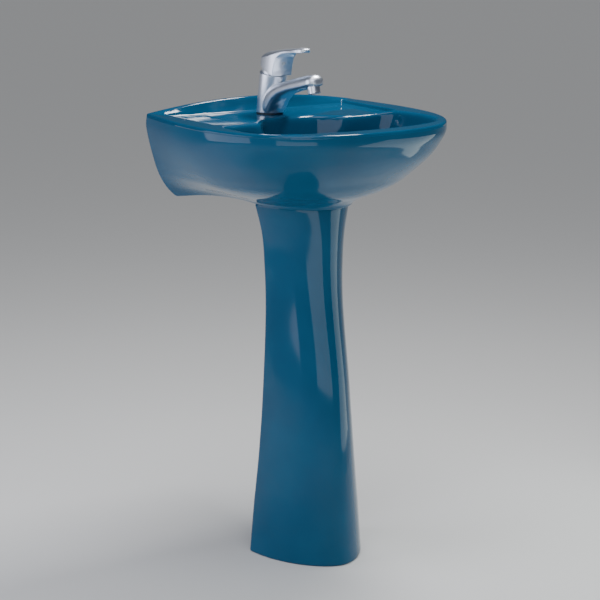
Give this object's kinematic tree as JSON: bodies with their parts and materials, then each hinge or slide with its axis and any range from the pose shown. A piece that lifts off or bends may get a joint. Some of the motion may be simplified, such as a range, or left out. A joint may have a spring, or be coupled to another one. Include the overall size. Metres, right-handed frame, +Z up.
{
  "type": "pedestal sink",
  "caption": "Wall-set ceramic basin with an arched back lip on an open-backed pedestal, with a leaning single-lever mixer, push waste and bottle trap.",
  "frame": {"origin": "centre of the bounding box on the floor", "axes": "+X to the user's right, -Y towards the user with the wall at the +Y end, +Z up"},
  "size_m": [0.4828, 0.439, 0.9431],
  "materials": {
    "glazed_china": "gloss blue glaze",
    "satin_chrome": "satin plated",
    "bright_chrome": "polished plated",
    "index_plastic": "gloss two-colour button",
    "steel": "zinc plated",
    "brass": "machined",
    "copper": "drawn copper tube",
    "white_plastic": "moulded",
    "disc_ceramic": "lapped",
    "black_rubber": "matte"
  },
  "bodies": {
    "fixed": {"basin": "glazed_china", "pedestal": "glazed_china", "tap_body": "satin_chrome", "cartridge_cover": "satin_chrome", "cartridge_nut": "brass", "cartridge_shell": "white_plastic", "cartridge_base": "white_plastic", "cartridge_seals": "black_rubber", "fixed_disc": "disc_ceramic", "aerator_housing": "satin_chrome", "aerator_insert": "white_plastic", "aerator_washer": "black_rubber", "tap_base_gasket": "black_rubber", "clamp_gasket": "black_rubber", "clamp_plate": "steel", "tap_stud": "steel", "tap_stud_nut": "brass", "hot_tail": "copper", "cold_tail": "copper", "waste_body": "bright_chrome", "waste_flange_gasket": "black_rubber", "waste_back_gasket": "black_rubber", "waste_nut": "brass", "plug_guide": "white_plastic", "trap_inlet_nut": "bright_chrome", "trap_inlet_washer": "black_rubber", "trap_dip_tube": "bright_chrome", "trap_body": "bright_chrome", "trap_top_nut": "bright_chrome", "trap_cup": "bright_chrome", "trap_cup_washer": "black_rubber", "outlet_nut": "bright_chrome", "outlet_washer": "black_rubber", "outlet_pipe": "bright_chrome"},
    "turn": {"turn_collar": "white_plastic", "stem_pin": "steel"},
    "lift": {"lever": "satin_chrome", "stem": "steel", "lever_button": "index_plastic", "lever_set_screw": "steel"},
    "disc": {"moving_disc": "disc_ceramic"},
    "waste_plug": {"plug": "bright_chrome", "plug_seal": "black_rubber"}
  },
  "joints": [
    {"name": "lever_turn", "type": "hinge", "parent": "fixed", "child": "turn", "pos_m": [0, 0.1515, 0.813], "axis": [0, -0.1822, 0.9833], "range_deg": [-45, 45]},
    {"name": "lever_lift", "type": "hinge", "parent": "turn", "child": "lift", "pos_m": [0, 0.13911, 0.87986], "axis": [-1, 0, 0], "range_deg": [0, 24]},
    {"name": "disc_slide", "type": "slide", "parent": "turn", "child": "disc", "axis": [0, -0.9833, -0.1822], "range_m": [0, 0.0038]},
    {"name": "plug_push", "type": "slide", "parent": "fixed", "child": "waste_plug", "axis": [0, 0, 1], "range_m": [0, 0.008]}
  ],
  "couplings": [
    {"joint": "disc_slide", "follows": "lever_lift", "m_per_rad": 0.009}
  ]
}
